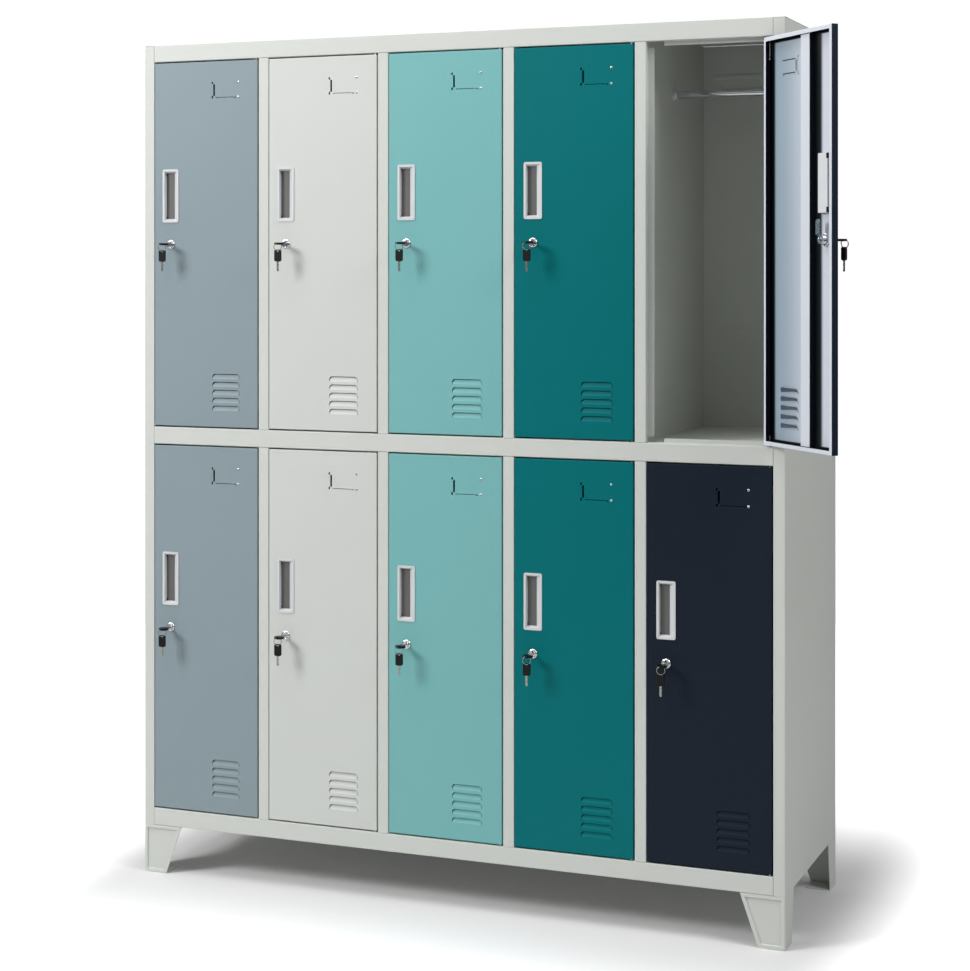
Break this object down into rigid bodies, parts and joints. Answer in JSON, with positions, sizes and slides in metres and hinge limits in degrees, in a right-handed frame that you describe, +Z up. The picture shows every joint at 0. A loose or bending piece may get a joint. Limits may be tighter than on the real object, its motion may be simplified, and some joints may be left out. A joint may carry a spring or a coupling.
{
  "type": "school locker",
  "caption": "Steel school locker on folded feet with two tiers of hinged doors, recessed handles, cam locks, louvres and hanging rods, one door open.",
  "frame": {"origin": "middle of the whole model's footprint at floor level, with the top right door open as at rest", "axes": "+X along the front from left to right, +Y from the front to the back, +Z up"},
  "size_m": [1.522, 0.6304, 1.748],
  "materials": {
    "cabinet_paint": "light grey satin powder coat",
    "blue_grey_paint": "blue grey satin powder coat",
    "pale_grey_paint": "pale grey satin powder coat",
    "aqua_paint": "aqua satin powder coat",
    "teal_paint": "teal satin powder coat",
    "navy_paint": "navy satin powder coat",
    "chromed_tube": "polished chrome",
    "lock_chrome": "bright plated",
    "key_steel": "nickel plated",
    "handle_plastic": "satin moulded",
    "key_plastic": "black moulded key head"
  },
  "bodies": {
    "cabinet": {"left_side_panel": "cabinet_paint", "right_side_panel": "cabinet_paint", "back_panel": "cabinet_paint", "top_panel": "cabinet_paint", "middle_shelf": "cabinet_paint", "floor_panel": "cabinet_paint", "partition_1": "cabinet_paint", "partition_2": "cabinet_paint", "partition_3": "cabinet_paint", "partition_4": "cabinet_paint", "front_left_foot": "cabinet_paint", "front_right_foot": "cabinet_paint", "rear_left_foot": "cabinet_paint", "rear_right_foot": "cabinet_paint", "lower_hanging_rods": "chromed_tube", "upper_hanging_rods": "chromed_tube"},
    "lower_door_1": {"lower_door_1_leaf": "blue_grey_paint", "lower_door_1_handle": "handle_plastic", "lower_door_1_lock_barrel": "lock_chrome"},
    "lower_door_1_lock": {"lower_door_1_key": "key_steel"},
    "lower_door_2": {"lower_door_2_leaf": "pale_grey_paint", "lower_door_2_handle": "handle_plastic", "lower_door_2_lock_barrel": "lock_chrome"},
    "lower_door_2_lock": {"lower_door_2_key": "key_steel"},
    "lower_door_3": {"lower_door_3_leaf": "aqua_paint", "lower_door_3_handle": "handle_plastic", "lower_door_3_lock_barrel": "lock_chrome"},
    "lower_door_3_lock": {"lower_door_3_key": "key_steel"},
    "lower_door_4": {"lower_door_4_leaf": "teal_paint", "lower_door_4_handle": "handle_plastic", "lower_door_4_lock_barrel": "lock_chrome"},
    "lower_door_4_lock": {"lower_door_4_key": "key_steel"},
    "lower_door_5": {"lower_door_5_leaf": "navy_paint", "lower_door_5_handle": "handle_plastic", "lower_door_5_lock_barrel": "lock_chrome"},
    "lower_door_5_lock": {"lower_door_5_key": "key_steel"},
    "upper_door_1": {"upper_door_1_leaf": "blue_grey_paint", "upper_door_1_handle": "handle_plastic", "upper_door_1_lock_barrel": "lock_chrome"},
    "upper_door_1_lock": {"upper_door_1_key": "key_steel"},
    "upper_door_2": {"upper_door_2_leaf": "pale_grey_paint", "upper_door_2_handle": "handle_plastic", "upper_door_2_lock_barrel": "lock_chrome"},
    "upper_door_2_lock": {"upper_door_2_key": "key_steel"},
    "upper_door_3": {"upper_door_3_leaf": "aqua_paint", "upper_door_3_handle": "handle_plastic", "upper_door_3_lock_barrel": "lock_chrome"},
    "upper_door_3_lock": {"upper_door_3_key": "key_steel"},
    "upper_door_4": {"upper_door_4_leaf": "teal_paint", "upper_door_4_handle": "handle_plastic", "upper_door_4_lock_barrel": "lock_chrome"},
    "upper_door_4_lock": {"upper_door_4_key": "key_steel"},
    "upper_door_5": {"upper_door_5_leaf": "navy_paint", "upper_door_5_handle": "handle_plastic", "upper_door_5_lock_barrel": "lock_chrome"},
    "upper_door_5_lock": {"upper_door_5_key": "key_steel"}
  },
  "joints": [
    {"name": "lower_door_1_hinge", "type": "hinge", "parent": "cabinet", "child": "lower_door_1", "pos_m": [-0.49637, -0.13198, 0.139], "axis": [0, 0, 1], "range_deg": [0, 134]},
    {"name": "lower_door_1_lock_turn", "type": "hinge", "parent": "lower_door_1", "child": "lower_door_1_lock", "pos_m": [-0.69797, -0.13198, 0.521], "axis": [0, -1, 0], "range_deg": [0, 90]},
    {"name": "lower_door_2_hinge", "type": "hinge", "parent": "cabinet", "child": "lower_door_2", "pos_m": [-0.22497, -0.13198, 0.139], "axis": [0, 0, 1], "range_deg": [0, 134]},
    {"name": "lower_door_2_lock_turn", "type": "hinge", "parent": "lower_door_2", "child": "lower_door_2_lock", "pos_m": [-0.42657, -0.13198, 0.521], "axis": [0, -1, 0], "range_deg": [0, 90]},
    {"name": "lower_door_3_hinge", "type": "hinge", "parent": "cabinet", "child": "lower_door_3", "pos_m": [0.04643, -0.13198, 0.139], "axis": [0, 0, 1], "range_deg": [0, 134]},
    {"name": "lower_door_3_lock_turn", "type": "hinge", "parent": "lower_door_3", "child": "lower_door_3_lock", "pos_m": [-0.15517, -0.13198, 0.521], "axis": [0, -1, 0], "range_deg": [0, 90]},
    {"name": "lower_door_4_hinge", "type": "hinge", "parent": "cabinet", "child": "lower_door_4", "pos_m": [0.31783, -0.13198, 0.139], "axis": [0, 0, 1], "range_deg": [0, 134]},
    {"name": "lower_door_4_lock_turn", "type": "hinge", "parent": "lower_door_4", "child": "lower_door_4_lock", "pos_m": [0.11623, -0.13198, 0.521], "axis": [0, -1, 0], "range_deg": [0, 90]},
    {"name": "lower_door_5_hinge", "type": "hinge", "parent": "cabinet", "child": "lower_door_5", "pos_m": [0.58923, -0.13198, 0.139], "axis": [0, 0, 1], "range_deg": [0, 134]},
    {"name": "lower_door_5_lock_turn", "type": "hinge", "parent": "lower_door_5", "child": "lower_door_5_lock", "pos_m": [0.38763, -0.13198, 0.521], "axis": [0, -1, 0], "range_deg": [0, 90]},
    {"name": "upper_door_1_hinge", "type": "hinge", "parent": "cabinet", "child": "upper_door_1", "pos_m": [-0.49637, -0.13198, 0.945], "axis": [0, 0, 1], "range_deg": [0, 134]},
    {"name": "upper_door_1_lock_turn", "type": "hinge", "parent": "upper_door_1", "child": "upper_door_1_lock", "pos_m": [-0.69797, -0.13198, 1.327], "axis": [0, -1, 0], "range_deg": [0, 90]},
    {"name": "upper_door_2_hinge", "type": "hinge", "parent": "cabinet", "child": "upper_door_2", "pos_m": [-0.22497, -0.13198, 0.945], "axis": [0, 0, 1], "range_deg": [0, 134]},
    {"name": "upper_door_2_lock_turn", "type": "hinge", "parent": "upper_door_2", "child": "upper_door_2_lock", "pos_m": [-0.42657, -0.13198, 1.327], "axis": [0, -1, 0], "range_deg": [0, 90]},
    {"name": "upper_door_3_hinge", "type": "hinge", "parent": "cabinet", "child": "upper_door_3", "pos_m": [0.04643, -0.13198, 0.945], "axis": [0, 0, 1], "range_deg": [0, 134]},
    {"name": "upper_door_3_lock_turn", "type": "hinge", "parent": "upper_door_3", "child": "upper_door_3_lock", "pos_m": [-0.15517, -0.13198, 1.327], "axis": [0, -1, 0], "range_deg": [0, 90]},
    {"name": "upper_door_4_hinge", "type": "hinge", "parent": "cabinet", "child": "upper_door_4", "pos_m": [0.31783, -0.13198, 0.945], "axis": [0, 0, 1], "range_deg": [0, 134]},
    {"name": "upper_door_4_lock_turn", "type": "hinge", "parent": "upper_door_4", "child": "upper_door_4_lock", "pos_m": [0.11623, -0.13198, 1.327], "axis": [0, -1, 0], "range_deg": [0, 90]},
    {"name": "upper_door_5_hinge", "type": "hinge", "parent": "cabinet", "child": "upper_door_5", "pos_m": [0.58923, -0.13198, 0.945], "axis": [0, 0, 1], "range_deg": [-133, 1]},
    {"name": "upper_door_5_lock_turn", "type": "hinge", "parent": "upper_door_5", "child": "upper_door_5_lock", "pos_m": [0.72672, -0.27942, 1.327], "axis": [0.7314, 0.682, 0], "range_deg": [0, 90]}
  ]
}
